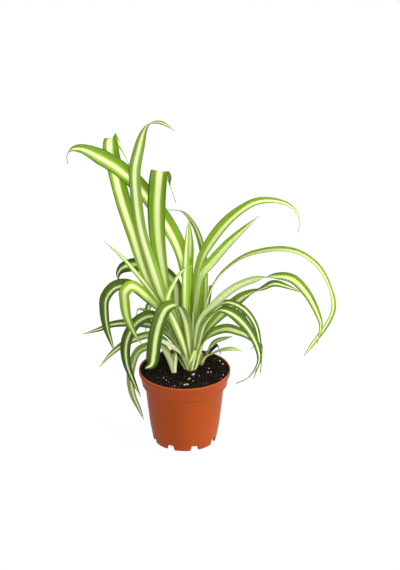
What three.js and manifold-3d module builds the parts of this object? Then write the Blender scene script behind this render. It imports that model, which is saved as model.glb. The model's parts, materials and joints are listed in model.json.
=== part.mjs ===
// A potted spider plant: a nursery pot full of soil, three crowns standing in it, and their arching leaves.
// Millimetres, +Z up, origin on the pot's axis at the surface that it stands on, -Y towards the front.
import * as THREE from "three";
import { mergeVertices } from "three/addons/utils/BufferGeometryUtils.js";
import Module from "manifold-3d";

const wasm = await Module();
wasm.setup();

// Driving dimensions of the pot.
const POT_HEIGHT = 76;
const RIM_RADIUS = 45.3;
const LIP_BOTTOM = 72.3;
const COLLAR_RADIUS = 42.1;
const COLLAR_BOTTOM = 60.6;
const LEDGE_RADIUS = 39.1;
const FOOT_RADIUS = 31.2;
const WALL = 1.6;
const FLOOR_LIFT = 4.5;
const HUB_RADIUS = 17;
const FOOT_COUNT = 8;
const NOTCH_DEGREES = 15;
const NOTCH_HEIGHT = 4.8;
const DRAIN_RADIUS = 2.4;
const DRAIN_CIRCLE = 24;
const SIDES = 48;

// Driving dimensions of the soil, the crowns and the leaves.
const FIT = 0.35;
const SOIL_TOP = 74.5;
const SOIL_MOUND = 1;
const SOIL_LUMP = 0.9;
const CROWN_FOOT = 62;
const CROWN_SWELLS_FROM = SOIL_TOP - 0.5;
const CROWN_SWELLS_TO = SOIL_TOP + 2;
const LEAF_THICKNESS = 0.8;
const LEAF_STEP = 15;
const LEAF_BASE_WIDTH = 3.7;
const LEAF_TIP_WIDTH = 1.2;
const LEAF_FULL = [0.45, 0.5];
const LEAF_TAPER = 2.4;
const LEAF_TURN = 70;
const LEAF_FOLD = [0.25, 0.45, 0.2];

const plastic = new THREE.MeshStandardMaterial({ color: 0xb5552d, roughness: 0.45, metalness: 0 });
const earth = new THREE.MeshStandardMaterial({ color: 0x1d1712, roughness: 0.95, metalness: 0 });
const stem = new THREE.MeshStandardMaterial({ color: 0xd8d9b0, roughness: 0.6, metalness: 0 });
const brightLeaf = new THREE.MeshStandardMaterial({ color: 0x86b032, roughness: 0.45, metalness: 0 });
const darkLeaf = new THREE.MeshStandardMaterial({ color: 0x4c7a35, roughness: 0.5, metalness: 0 });
const driedLeaf = new THREE.MeshStandardMaterial({ color: 0x2b2019, roughness: 0.9, metalness: 0 });

const radians = THREE.MathUtils.degToRad;

// The same draw each time for the same place, from 0 to 1.
function draw(a, b) {
  const wave = Math.sin(a * 12.9898 + b * 78.233) * 43758.5453;
  return wave - Math.floor(wave);
}

function solidOf(geometry) {
  const bare = geometry.clone();
  bare.deleteAttribute("normal");
  bare.deleteAttribute("uv");
  const merged = mergeVertices(bare, 1e-4);
  const vertProperties = new Float32Array(merged.attributes.position.array);
  const triVerts = new Uint32Array(merged.index.array);
  return new wasm.Manifold(new wasm.Mesh({ numProp: 3, vertProperties, triVerts }));
}

function geometryOf(solid) {
  const mesh = solid.getMesh();
  const geometry = new THREE.BufferGeometry();
  geometry.setAttribute("position", new THREE.BufferAttribute(mesh.vertProperties, 3));
  geometry.setIndex(new THREE.BufferAttribute(mesh.triVerts, 1));
  geometry.computeVertexNormals();
  return geometry;
}

// A solid turned round Z from an outline of [radius, height] pairs, up the outside and back down the inside.
function turned(outline, sides = SIDES) {
  const lathe = new THREE.LatheGeometry(
    outline.map(([radius, height]) => new THREE.Vector2(radius, height)),
    sides,
  );
  lathe.rotateX(Math.PI / 2);
  return solidOf(lathe);
}

function addMesh(group, name, geometry, material) {
  const mesh = new THREE.Mesh(geometry, material);
  mesh.name = name;
  group.add(mesh);
  return mesh;
}

// The pot's outside from the foot to the rim, as [radius, height], with a ledge under the collar.
const POT_OUTSIDE = [
  [FOOT_RADIUS, 0],
  [FOOT_RADIUS + 0.7, 3],
  [34.6, 18],
  [37.1, 40],
  [LEDGE_RADIUS, COLLAR_BOTTOM - 0.6],
  [COLLAR_RADIUS, COLLAR_BOTTOM],
  [COLLAR_RADIUS + 1.3, LIP_BOTTOM - 4],
  [RIM_RADIUS, LIP_BOTTOM],
  [RIM_RADIUS, POT_HEIGHT - 0.5],
  [RIM_RADIUS - 0.5, POT_HEIGHT],
];

function potWallInside(height) {
  const above = POT_OUTSIDE.findIndex(([, at]) => at >= height);
  const [r1, h1] = POT_OUTSIDE[above];
  const [r0, h0] = POT_OUTSIDE[Math.max(0, above - 1)];
  const share = h1 > h0 ? (height - h0) / (h1 - h0) : 0;
  return r0 + (r1 - r0) * share - WALL;
}

// An arch-topped cutter that opens the foot ring between two feet.
function notchCutter(angle) {
  const middle = FOOT_RADIUS - WALL / 2;
  const half = middle * Math.sin(radians(NOTCH_DEGREES / 2));
  const arch = new THREE.Shape();
  arch.moveTo(-half, -1);
  arch.lineTo(half, -1);
  arch.lineTo(half, NOTCH_HEIGHT - 2.6);
  arch.quadraticCurveTo(half, NOTCH_HEIGHT, 0, NOTCH_HEIGHT);
  arch.quadraticCurveTo(-half, NOTCH_HEIGHT, -half, NOTCH_HEIGHT - 2.6);
  const cutter = new THREE.ExtrudeGeometry(arch, { depth: 6, bevelEnabled: false, curveSegments: 3 });
  cutter.rotateX(Math.PI / 2);
  cutter.translate(0, middle + 3, 0);
  cutter.rotateZ(angle);
  return solidOf(cutter);
}

function drainCutter(angle) {
  const cutter = new THREE.CylinderGeometry(DRAIN_RADIUS, DRAIN_RADIUS, 8, 12);
  cutter.rotateX(Math.PI / 2);
  cutter.translate(DRAIN_CIRCLE * Math.cos(angle), DRAIN_CIRCLE * Math.sin(angle), FLOOR_LIFT);
  return solidOf(cutter);
}

function potGeometry() {
  const inside = [
    [RIM_RADIUS - 1.4, POT_HEIGHT],
    [RIM_RADIUS - WALL, LIP_BOTTOM + 1],
    [COLLAR_RADIUS + 1.2 - WALL, LIP_BOTTOM],
    [COLLAR_RADIUS - WALL, COLLAR_BOTTOM + 1],
    [LEDGE_RADIUS - WALL, COLLAR_BOTTOM],
    [potWallInside(40), 40],
    [potWallInside(18), 18],
    [potWallInside(FLOOR_LIFT + WALL), FLOOR_LIFT + WALL],
    [HUB_RADIUS + 1.5, FLOOR_LIFT + WALL],
    [HUB_RADIUS - 1.5, WALL],
    [0, WALL],
  ];
  const underside = [
    [0, 0],
    [HUB_RADIUS, 0],
    [HUB_RADIUS + 3, FLOOR_LIFT],
    [FOOT_RADIUS - WALL, FLOOR_LIFT],
    [FOOT_RADIUS - WALL, 0],
  ];
  let pot = turned([...underside, ...POT_OUTSIDE, ...inside]);
  for (let i = 0; i < FOOT_COUNT; i++) {
    const toNotch = radians((360 / FOOT_COUNT) * (i + 0.5) - 4);
    pot = pot.subtract(notchCutter(toNotch));
    pot = pot.subtract(drainCutter(toNotch));
  }
  return geometryOf(pot);
}

// Crowns: short pale stems at [x, y] on the soil. Each swells out of its foot to its radius, then changes
// evenly to its topRadius.
const CROWNS = {
  main: { name: "crown_main", at: [6, 0], foot: 4.2, radius: 6, topRadius: 3.6, top: 101 },
  left: { name: "crown_left", at: [-10.5, -7], foot: 1.3, radius: 1.7, topRadius: 3.1, top: 96 },
  right: { name: "crown_right", at: [16.5, 10], foot: 1.8, radius: 2.2, topRadius: 1.4, top: 90 },
};

function crownRadius(crown, height) {
  const share = (height - SOIL_TOP) / (crown.top - SOIL_TOP);
  return THREE.MathUtils.lerp(crown.radius, crown.topRadius, THREE.MathUtils.clamp(share, 0, 1));
}

function crownGeometry(crown) {
  const outline = [
    [0, CROWN_FOOT],
    [crown.foot, CROWN_FOOT],
    [crown.foot, CROWN_SWELLS_FROM],
    [crownRadius(crown, CROWN_SWELLS_TO), CROWN_SWELLS_TO],
    [crownRadius(crown, crown.top - 1), crown.top - 1],
    [0, crown.top],
  ];
  const solid = turned(outline, 14).translate([...crown.at, 0]);
  return geometryOf(solid);
}

// Lumps of bark and perlite that stand out of the soil, as [x, y, size].
const GRAINS = [
  [1.3, -34, 1.9], [8.5, -12.5, 1.8], [5, -21, 1.4], [-10, -35, 1.4], [23, -8, 1.4],
  [35, 17, 1.5], [38, 12, 1.4], [-16, 16, 1.4], [12, 35, 1.4], [-33, 17, 1.4],
  [-30, 3, 2], [5, 24, 1.8], [-26, -20, 1.7], [18, -26, 1.6], [31, -14, 1.6],
  [-9, 33, 1.6], [-37, -6, 1.7], [30, 22, 1.8],
];

function soilHeight(x, y, radius) {
  const edge = RIM_RADIUS - WALL - FIT;
  const mound = SOIL_MOUND * (1 - (radius / edge) ** 2);
  return SOIL_TOP + mound + SOIL_LUMP * (draw(x, y) - 0.5);
}

function soilGeometry() {
  const rings = 9;
  const sectors = 32;
  const edge = RIM_RADIUS - WALL - FIT;
  const floor = FLOOR_LIFT + WALL + FIT;
  const walls = [
    [edge, LIP_BOTTOM + 1.4],
    [COLLAR_RADIUS - WALL - FIT, LIP_BOTTOM - 0.4],
    [LEDGE_RADIUS - WALL - FIT, COLLAR_BOTTOM],
    [potWallInside(18) - FIT, 18],
    [potWallInside(floor) - FIT, floor],
  ];
  const points = [0, 0, soilHeight(0, 0, 0)];
  const faces = [];
  for (let ring = 1; ring <= rings + walls.length; ring++) {
    const [wallRadius, wallHeight] = walls[ring - rings - 1] ?? [];
    for (let sector = 0; sector < sectors; sector++) {
      const angle = (2 * Math.PI * sector) / sectors;
      const radius = wallRadius ?? (edge * ring) / rings;
      const x = radius * Math.cos(angle);
      const y = radius * Math.sin(angle);
      points.push(x, y, wallHeight ?? soilHeight(x, y, radius));
    }
  }
  points.push(0, 0, floor);
  const last = points.length / 3 - 1;
  const at = (ring, sector) => 1 + (ring - 1) * sectors + (sector % sectors);
  for (let sector = 0; sector < sectors; sector++) {
    faces.push(0, at(1, sector), at(1, sector + 1));
    faces.push(last, at(rings + walls.length, sector + 1), at(rings + walls.length, sector));
    for (let ring = 1; ring < rings + walls.length; ring++) {
      const [a, b] = [at(ring, sector), at(ring, sector + 1)];
      const [c, d] = [at(ring + 1, sector), at(ring + 1, sector + 1)];
      faces.push(a, c, d, a, d, b);
    }
  }
  const block = new THREE.BufferGeometry();
  block.setAttribute("position", new THREE.Float32BufferAttribute(points, 3));
  block.setIndex(faces);
  let soil = solidOf(block);
  for (const [x, y, size] of GRAINS) {
    const grain = new THREE.IcosahedronGeometry(size, 0);
    grain.rotateX(draw(x, y) * 3);
    grain.translate(x, y, soilHeight(x, y, Math.hypot(x, y)) + size * 0.1);
    soil = soil.add(solidOf(grain));
  }
  for (const crown of Object.values(CROWNS)) {
    const hole = [
      [0, CROWN_FOOT - FIT],
      [crown.foot + FIT, CROWN_FOOT - FIT],
      [crown.foot + FIT, CROWN_SWELLS_FROM - FIT],
      [crown.radius + FIT, CROWN_SWELLS_TO - FIT],
      [crown.radius + FIT, crown.top],
      [0, crown.top],
    ];
    soil = soil.subtract(turned(hole, 18).translate([...crown.at, 0]));
  }
  return geometryOf(soil);
}

// Each leaf grows from its crown at an angle round it and a height up it. Heading is the way it bends over,
// in degrees from +X towards +Y. Roll turns the blade about its own length, at even steps from root to tip, and
// twist is [from, to, degrees] for a sharp extra turn. The blade keeps its full width between two shares of its
// length, and a lower taper thins it sooner after that. Through gives the points that its midrib passes.
const LEAVES = [
  {
    name: "leaf_tall_left_back", tone: "bright", crown: "main", root: [160, 88], heading: 110,
    roll: [0, 0, 0, 0, -18], twist: [0.8, 0.92, -54], width: 15.5, full: [0.6, 0.82],
    taper: 1.2,
    through: [
      [-18, 11, 132], [-36, 15, 166], [-51, 22, 216], [-60, 27, 245], [-67, 31, 275], [-71, 35, 296],
      [-70, 41, 304], [-64, 46, 298], [-58, 50, 284], [-54, 53, 272],
    ],
  },
  {
    name: "leaf_big_left_arch", tone: "bright", crown: "main", root: [260, 98], heading: 180,
    roll: [0, -35, -55, -60, -50], twist: [0.92, 0.96, 45], width: 16, full: [0.32, 0.84],
    taper: 1,
    through: [
      [3, 0, 138], [1, 2, 175], [-5, 4, 202], [-15, 4, 226], [-28, 3, 248], [-43, 0, 271], [-61, -3, 290],
      [-80, -6, 304], [-98, -8, 313], [-107, -9, 312], [-111, -10, 306], [-110, -11, 299],
    ],
  },
  {
    name: "leaf_tall_centre", tone: "bright", crown: "main", root: [200, 98], heading: 240,
    roll: [0], twist: [0.82, 0.92, -45], width: 13, full: [0.35, 0.7], taper: 2,
    through: [
      [-5, -8, 121], [-21, -13, 157], [-34, -16, 200], [-42, -19, 233], [-46, -20, 265], [-47, -21, 296],
      [-43, -20, 316], [-37, -17, 335], [-32, -15, 341], [-22, -12, 341], [-9, -10, 332],
    ],
  },
  {
    name: "leaf_tall_folded", tone: "bright", crown: "main", root: [140, 98], heading: 75,
    roll: [0], twist: [0.86, 0.92, 75], width: 18, full: [0.7, 0.74], taper: 2,
    through: [
      [-5, -1, 121], [-15, -6, 157], [-21, -9, 190], [-25, -12, 222], [-26, -14, 253], [-25, -14, 274],
      [-24, -13, 286], [-23.5, -9, 289], [-22, -3, 287], [-17, 2, 279], [-12, 4, 266], [-8, 5, 252],
    ],
  },
  {
    name: "leaf_swept_back_left", tone: "bright", crown: "main", root: [45, 93], heading: 45,
    roll: [0, 0, 30],
    width: 8,
    through: [
      [18, 12, 124], [21, 17, 154], [20, 21, 182], [16, 24, 203], [9, 25, 221], [-2, 25, 234],
      [-16, 25, 236],
    ],
  },
  {
    name: "leaf_big_right_arch", tone: "bright", crown: "main", root: [318, 98], heading: 0,
    roll: [0, 40, 30],
    width: 12.5, full: [0.45, 0.55], taper: 1.1,
    through: [
      [9, -3, 141], [12, -3, 173], [19, -2, 200], [32, 0, 222], [49, 3, 240], [68, 6, 252], [85, 8, 253],
      [100, 10, 248], [108, 11, 240], [112, 12, 228], [110, 12, 218],
    ],
  },
  {
    name: "leaf_upright", tone: "bright", crown: "main", root: [80, 98], heading: 90, roll: [0], width: 10,
    full: [0.4, 0.4],
    through: [[4, 12, 135], [4, 14, 177], [6, 13, 204], [5, 14, 230]],
  },
  {
    name: "leaf_straight_right", tone: "bright", crown: "main", root: [20, 98], heading: 30,
    roll: [0, 30, 30],
    width: 10.5,
    through: [[11, 7, 143], [15, 9, 172], [27, 11, 187], [44, 13, 207], [64, 15, 226], [72, 16, 233]],
  },
  {
    name: "leaf_long_right_arch", tone: "bright", crown: "main", root: [345, 92], heading: -15,
    roll: [0, 10, 10, 0, 60], width: 8.5, full: [0.45, 0.86],
    through: [
      [19, -3, 137], [30, -9, 174], [44, -14, 193], [63, -20, 208], [92, -28, 217], [111, -33, 215],
      [128, -37, 203], [140, -40, 180], [143, -42, 162], [138, -43, 147], [125, -45, 127], [116, -46, 113],
    ],
  },
  {
    name: "leaf_second_right_arch", tone: "bright", crown: "main", root: [318, 88], heading: -25,
    roll: [0, -55, -60, -55, -35], twist: [0.5, 0.68, 95], width: 9.5, full: [0.4, 0.7], taper: 1.5,
    through: [
      [15, -13, 133], [30, -19, 155], [49, -27, 176], [68, -34, 188], [87, -40, 194], [103, -45, 194],
      [117, -49, 181], [128, -52, 160], [131, -53, 149], [128, -54, 130],
    ],
  },
  {
    name: "leaf_wavy_right", tone: "dark", crown: "main", root: [20, 85], heading: 10,
    roll: [0, 30, 40, 55, -20, 40, 30], width: 11,
    through: [
      [20, 10, 109], [35, 14, 127], [54, 16, 144], [64, 16, 150], [76, 14, 156], [88, 12, 163], [103, 9, 160],
      [115, 6, 156],
    ],
  },
  {
    name: "leaf_right_droop_inner", tone: "dark", crown: "main", root: [345, 81], heading: -15,
    roll: [0, 15, 25],
    width: 9,
    through: [
      [19, -3, 122], [28, -6, 143], [42, -10, 152], [57, -14, 147], [68, -16, 132], [73, -17, 110],
      [73, -18, 92], [68, -18, 74],
    ],
  },
  {
    name: "leaf_right_droop_front", tone: "dark", crown: "main", root: [300, 85], heading: -45,
    roll: [0, 10, 10],
    width: 13.5, full: [0.55, 0.57], taper: 0.8,
    through: [
      [14, -11, 106], [21, -17, 134], [34, -25, 151], [46, -33, 151], [60, -42, 141], [70, -48, 124],
      [72, -52, 110], [62, -55, 94], [50, -56, 88],
    ],
  },
  {
    name: "leaf_low_right_arch", tone: "dark", crown: "main", root: [315, 77], heading: -20,
    roll: [0, 35, 35],
    width: 11,
    through: [[22, -10, 114], [40, -18, 128], [54, -25, 128], [64, -29, 124], [69, -31, 118], [65, -31, 113]],
  },
  {
    name: "leaf_low_right_back", tone: "dark", crown: "main", root: [0, 77], heading: 5, roll: [0, 20, 20],
    width: 8,
    through: [[23, 1, 112], [37, 1, 120], [53, 2, 116], [66, 3, 109], [75, 4, 99], [76, 4, 84], [75, 4, 69]],
  },
  {
    name: "leaf_small_right", tone: "dark", crown: "right", root: [340, 81], heading: -20, roll: [0, 20, 20],
    width: 7,
    through: [[29, 6, 101], [47, 1, 111]],
  },
  {
    name: "leaf_small_right_low", tone: "bright", crown: "right", root: [290, 78], heading: -10,
    roll: [0, 25, 25],
    width: 6,
    through: [[21, 5, 86], [33, 3, 93], [45, 1, 97], [58, -1, 96]],
  },
  {
    name: "leaf_right_shoot", tone: "dark", crown: "right", root: [212, 76.5], heading: 235, roll: [0],
    width: 3.4,
    through: [[14.2, 6.4, 80], [14.1, 4.8, 84], [13.9, 3.9, 87]],
  },
  {
    name: "leaf_thin_left", tone: "bright", crown: "main", root: [175, 93], heading: 175, roll: [0, -40, -40],
    width: 6,
    through: [[-12, 3, 121], [-29, 3, 152], [-48, 2, 180], [-62, 1, 198], [-77, 0, 213]],
  },
  {
    name: "leaf_left_arch_back", tone: "dark", crown: "main", root: [127, 93], heading: 140,
    roll: [0, -20, -60, -70, -60], width: 14, full: [0.4, 0.66],
    through: [
      [-8, 16, 131], [-10, 25, 156], [-19, 30, 166], [-34, 33, 172], [-49, 35, 173], [-62, 36, 168],
      [-66, 36, 160], [-62, 37, 152], [-56, 38, 151],
    ],
  },
  {
    name: "leaf_left_droop_back", tone: "dark", crown: "main", root: [150, 85], heading: 190,
    roll: [0, -25, -40, -45], width: 12, full: [0.4, 0.72],
    through: [
      [-19, 14, 125], [-39, 12, 148], [-55, 8, 163], [-68, 4, 163], [-77, 0, 153], [-78, -4, 140],
      [-76, -7, 124], [-72, -9, 110], [-69, -10, 100],
    ],
  },
  {
    name: "leaf_left_droop_bright", tone: "bright", crown: "main", root: [210, 88], heading: 200,
    roll: [0, -35, -25], width: 13, full: [0.24, 0.7],
    through: [
      [-13, -9, 127], [-24, -9, 143], [-38, -14, 162], [-51, -17, 173], [-57, -20, 168], [-57, -22, 161],
      [-55, -25, 145], [-48, -28, 128], [-41, -29, 116],
    ],
  },
  {
    name: "leaf_left_droop_front", tone: "dark", crown: "main", root: [224, 85], heading: 200,
    roll: [0, -25, -30], width: 13, full: [0.4, 0.66],
    through: [
      [-9, -9, 107], [-17, -15, 125], [-23, -17, 137], [-32, -17, 141], [-44, -15, 135], [-53, -13, 121],
      [-57, -12, 105], [-56, -13, 87], [-51, -15, 72], [-43, -22, 56],
    ],
  },
  {
    name: "leaf_left_low_long", tone: "dark", crown: "left", root: [170, 90], heading: 185,
    roll: [-15, -40, -45], width: 10, full: [0.25, 0.7],
    through: [
      [-16, -6, 98], [-24, -6, 104], [-34, -6, 103], [-44, -5, 98], [-50, -3, 85], [-53, -2, 67],
      [-51, -3, 49], [-45, -4, 33], [-41, -5, 22],
    ],
  },
  {
    name: "leaf_front_left_broad", tone: "dark", crown: "main", root: [268, 88], heading: 235,
    roll: [0, -5, -15, -15],
    width: 14, full: [0.42, 0.88],
    through: [
      [2, -17, 126], [-1, -22, 142], [-8, -28, 158], [-18, -34, 157], [-24, -39, 146], [-28, -44, 131],
      [-30, -47, 115], [-32, -49, 105], [-38, -50, 101],
    ],
  },
  {
    name: "leaf_far_left", tone: "dark", crown: "main", root: [170, 77], heading: 175, roll: [0, -40, -40],
    width: 9,
    through: [
      [-9, 5.5, 98.5], [-20, 5.5, 113.5], [-34, 6, 121], [-54, 8, 122], [-73, 8, 120], [-83, 7, 116],
      [-100, 6, 111],
    ],
  },
  {
    name: "leaf_left_low_pointing", tone: "dark", crown: "main", root: [207, 77], heading: 180,
    roll: [0, -40, -40],
    width: 8,
    through: [
      [-9, -1, 92.5], [-19, -2.5, 107.5], [-32, -3, 114], [-46, -3, 111], [-60, -3, 104], [-72, -3, 94],
      [-84, -4, 80],
    ],
  },
  {
    name: "leaf_left_curled", tone: "dark", crown: "main", root: [190, 81], heading: 180, roll: [0, -30, -30],
    width: 6,
    through: [[-19, -3, 128], [-35, -3, 139], [-45, -4, 143], [-47, -5, 137]],
  },
  {
    name: "leaf_centre_turned_right", tone: "bright", crown: "main", root: [256, 81], heading: 300, roll: [0],
    width: 7,
    through: [
      [-1, -13, 107], [-8, -19, 132], [-16, -22, 155], [-16, -22, 164], [-11, -21, 176], [-3, -18, 189],
      [5, -14, 193], [9, -12, 192],
    ],
  },
  {
    name: "leaf_back_droop", tone: "dark", crown: "main", root: [105, 88], heading: 95, roll: [0], width: 9,
    through: [[-1, 24, 127], [-2, 34, 136], [-5, 45, 145], [-4, 62, 133], [-3, 76, 116]],
  },
  {
    name: "leaf_back_right_droop", tone: "dark", crown: "main", root: [60, 88], heading: 75,
    roll: [0], width: 8,
    through: [[18, 22, 130], [22, 34, 144], [23, 46, 145], [23, 66, 120], [22, 77, 96]],
  },
  {
    name: "leaf_back_low_left", tone: "dark", crown: "main", root: [120, 77], heading: 125,
    roll: [0], width: 11,
    through: [[-6, 24, 112], [-18, 42, 128], [-30, 58, 124], [-38, 72, 104], [-40, 80, 78]],
  },
  {
    name: "leaf_back_low_right", tone: "dark", crown: "main", root: [55, 77], heading: 50,
    roll: [0], width: 11,
    through: [[20, 20, 108], [34, 36, 124], [48, 52, 122], [58, 66, 104], [62, 74, 80]],
  },
  {
    name: "leaf_old_left", tone: "bright", crown: "main", root: [243, 77], heading: 215,
    roll: [0, -40, -40], width: 9,
    full: [0.4, 0.6],
    through: [[-2, -13, 95], [-10, -18, 107], [-19, -21, 115], [-26, -22, 118]],
  },
  {
    name: "leaf_torn_front", tone: "bright", crown: "main", root: [278, 77], heading: 250, roll: [0], width: 3.8,
    full: [0.3, 0.85],
    through: [[8.2, -9.6, 86], [10.6, -13.6, 99], [10.6, -15.4, 103.5], [8.6, -16.4, 99.5], [4.4, -16, 89]],
  },
  {
    name: "leaf_withered_back", tone: "dried", crown: "right", root: [80, 78], heading: 40,
    roll: [0, 60, 60], width: 4.5,
    through: [[20, 22, 80], [26, 26, 84], [32, 28, 88], [36, 28, 78]],
  },
];

// A blade swells from its base, keeps its full width for a stretch, and draws out to its tip.
function widthAt(leaf, along) {
  const [from, to] = leaf.full ?? LEAF_FULL;
  const grown = THREE.MathUtils.smoothstep(along, 0, from);
  const spread = THREE.MathUtils.lerp(LEAF_BASE_WIDTH, leaf.width, grown);
  const falling = Math.max(0, (along - to) / (1 - to));
  return Math.max(LEAF_TIP_WIDTH, spread * (1 - falling ** (leaf.taper ?? LEAF_TAPER)));
}

// The value at a share of the way through a list of evenly spaced values.
function between(values, along) {
  const place = along * (values.length - 1);
  const before = Math.min(Math.floor(place), values.length - 1);
  const after = Math.min(before + 1, values.length - 1);
  return THREE.MathUtils.lerp(values[before], values[after], place - before);
}

// How far a blade has rolled about its midrib: its even roll, and a sharp twist where it has one.
function rollAt(leaf, along) {
  const [from, to, degrees] = leaf.twist ?? [0, 1, 0];
  return between(leaf.roll, along) + degrees * THREE.MathUtils.smoothstep(along, from, to);
}

// A blade's back faces away from its crown where it grows out, and turns to its heading within LEAF_TURN.
function backAngle(leaf, distance) {
  const [rootAngle] = leaf.root;
  const turn = THREE.MathUtils.euclideanModulo(leaf.heading - rootAngle + 180, 360) - 180;
  return radians(rootAngle + turn * THREE.MathUtils.smoothstep(distance, 0, LEAF_TURN));
}

function rootPoint(leaf) {
  const crown = CROWNS[leaf.crown];
  const [degrees, height] = leaf.root;
  const radius = crownRadius(crown, height) + FIT + LEAF_THICKNESS / 2;
  const x = crown.at[0] + radius * Math.cos(radians(degrees));
  const y = crown.at[1] + radius * Math.sin(radians(degrees));
  return new THREE.Vector3(x, y, height);
}

// A blade with a shallow V across it: three points over three points at each station along the midrib.
function leafGeometry(leaf) {
  const midrib = new THREE.CatmullRomCurve3(
    [rootPoint(leaf), ...leaf.through.map((point) => new THREE.Vector3(...point))],
    false,
    "centripetal",
  );
  const length = midrib.getLength();
  const stations = Math.max(6, Math.round(length / LEAF_STEP));
  const points = [];
  const faces = [];
  for (let i = 0; i <= stations; i++) {
    const along = i / stations;
    const tangent = midrib.getTangentAt(along);
    const back = backAngle(leaf, along * length);
    const across = new THREE.Vector3(-Math.sin(back), Math.cos(back), 0);
    const side = across.clone().addScaledVector(tangent, -across.dot(tangent)).normalize();
    side.applyAxisAngle(tangent, radians(rollAt(leaf, along)));
    const up = new THREE.Vector3().crossVectors(tangent, side);
    const half = widthAt(leaf, along) / 2;
    const fold = half * between(LEAF_FOLD, along);
    const centre = midrib.getPointAt(along);
    const section = [[-1, fold, 1], [0, 0, 1], [1, fold, 1], [1, fold, -1], [0, 0, -1], [-1, fold, -1]];
    for (const [sideways, lift, face] of section) {
      const point = centre.clone().addScaledVector(side, sideways * half);
      point.addScaledVector(up, lift + (face * LEAF_THICKNESS) / 2);
      points.push(...point.toArray());
    }
  }
  const last = stations * 6;
  for (let i = 0; i < last; i += 6) {
    for (let j = 0; j < 6; j++) {
      const k = (j + 1) % 6;
      const [a, b, c, d] = [i + j, i + k, i + 6 + k, i + 6 + j];
      faces.push(...(j < 3 ? [a, c, b, a, d, c] : [a, d, b, b, d, c]));
    }
  }
  faces.push(0, 1, 5, 1, 4, 5, 1, 2, 4, 2, 3, 4);
  faces.push(last, last + 5, last + 1, last + 1, last + 5, last + 4);
  faces.push(last + 1, last + 4, last + 2, last + 2, last + 4, last + 3);
  const blade = new THREE.BufferGeometry();
  blade.setAttribute("position", new THREE.Float32BufferAttribute(points, 3));
  blade.setIndex(faces);
  blade.computeVertexNormals();
  return blade;
}

const plant = new THREE.Group();
plant.name = "potted_spider_plant";
addMesh(plant, "pot", potGeometry(), plastic);
addMesh(plant, "soil", soilGeometry(), earth);
for (const crown of Object.values(CROWNS)) addMesh(plant, crown.name, crownGeometry(crown), stem);
const TONES = { bright: brightLeaf, dark: darkLeaf, dried: driedLeaf };
for (const leaf of LEAVES) addMesh(plant, leaf.name, leafGeometry(leaf), TONES[leaf.tone]);

export default plant;
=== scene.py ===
"""A potted spider plant: a nursery pot, damp soil, three crowns and their arching striped leaves."""

import json
import math
import random
from dataclasses import dataclass

import bmesh
import bpy
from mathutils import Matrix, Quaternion, Vector, noise

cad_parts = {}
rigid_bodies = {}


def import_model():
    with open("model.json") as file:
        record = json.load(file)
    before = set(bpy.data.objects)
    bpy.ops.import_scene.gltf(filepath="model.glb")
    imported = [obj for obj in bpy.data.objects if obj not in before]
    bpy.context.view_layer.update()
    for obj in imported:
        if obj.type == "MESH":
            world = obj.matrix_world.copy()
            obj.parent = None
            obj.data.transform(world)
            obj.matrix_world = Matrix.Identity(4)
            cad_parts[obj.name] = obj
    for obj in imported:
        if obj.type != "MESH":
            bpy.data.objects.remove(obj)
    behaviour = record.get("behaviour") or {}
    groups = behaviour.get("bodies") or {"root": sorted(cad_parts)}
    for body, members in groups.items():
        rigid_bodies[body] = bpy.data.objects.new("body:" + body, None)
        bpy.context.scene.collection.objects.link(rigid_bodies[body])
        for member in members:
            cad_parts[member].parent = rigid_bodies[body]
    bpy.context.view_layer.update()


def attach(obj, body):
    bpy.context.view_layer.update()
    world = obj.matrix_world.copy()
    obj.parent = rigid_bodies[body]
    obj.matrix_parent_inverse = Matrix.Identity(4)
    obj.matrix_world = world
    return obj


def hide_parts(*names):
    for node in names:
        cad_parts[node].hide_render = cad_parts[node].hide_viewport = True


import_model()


# ---- Camera, light and floor ----
# A long lens a good two metres off, looking down a little on the pot's rim, as for a catalogue picture.
# A big soft light stands at the right, with weaker ones in front and overhead, round a white sweep.

LENS = 159.5
FILM_WIDTH = 36
CAMERA_PLACE = Vector((0.0152, -2.235, 1.195))
CAMERA_DOWN = math.radians(24.7)


def stood(name, data):
    """A new object in the scene that holds a mesh, a lamp or a camera."""
    thing = bpy.data.objects.new(name, data)
    bpy.context.scene.collection.objects.link(thing)
    return thing


camera = stood("camera", bpy.data.cameras.new("camera"))
camera.data.lens = LENS
camera.data.sensor_width = FILM_WIDTH
camera.data.clip_start = 0.05
camera.location = CAMERA_PLACE
camera.rotation_euler = (math.pi / 2 - CAMERA_DOWN, 0, 0)
bpy.context.scene.camera = camera
bpy.context.scene.view_settings.view_transform = "Standard"

PLANT_MIDDLE = Vector((0, 0, 0.15))
LAMP_SIZE = 2.2


def soft_light(name, place, watts):
    lamp = bpy.data.lights.new(name, "AREA")
    lamp.shape = "DISK"
    lamp.size = LAMP_SIZE
    lamp.energy = watts
    shown = stood(name, lamp)
    shown.location = place
    shown.rotation_mode = "QUATERNION"
    shown.rotation_quaternion = (PLANT_MIDDLE - Vector(place)).to_track_quat("-Z", "Y")


soft_light("key_light", (2.6, -0.6, 1.4), 155)
soft_light("front_light", (0.3, -2.9, 1.2), 94)
soft_light("top_light", (-0.5, 0.2, 2.6), 46)

# The studio's walls are white up to a little above eye level, and its ceiling is dim.
WALL_TOP = 0.12
CEILING_EDGE = 0.4
CEILING_LIGHT = 0.3

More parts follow.
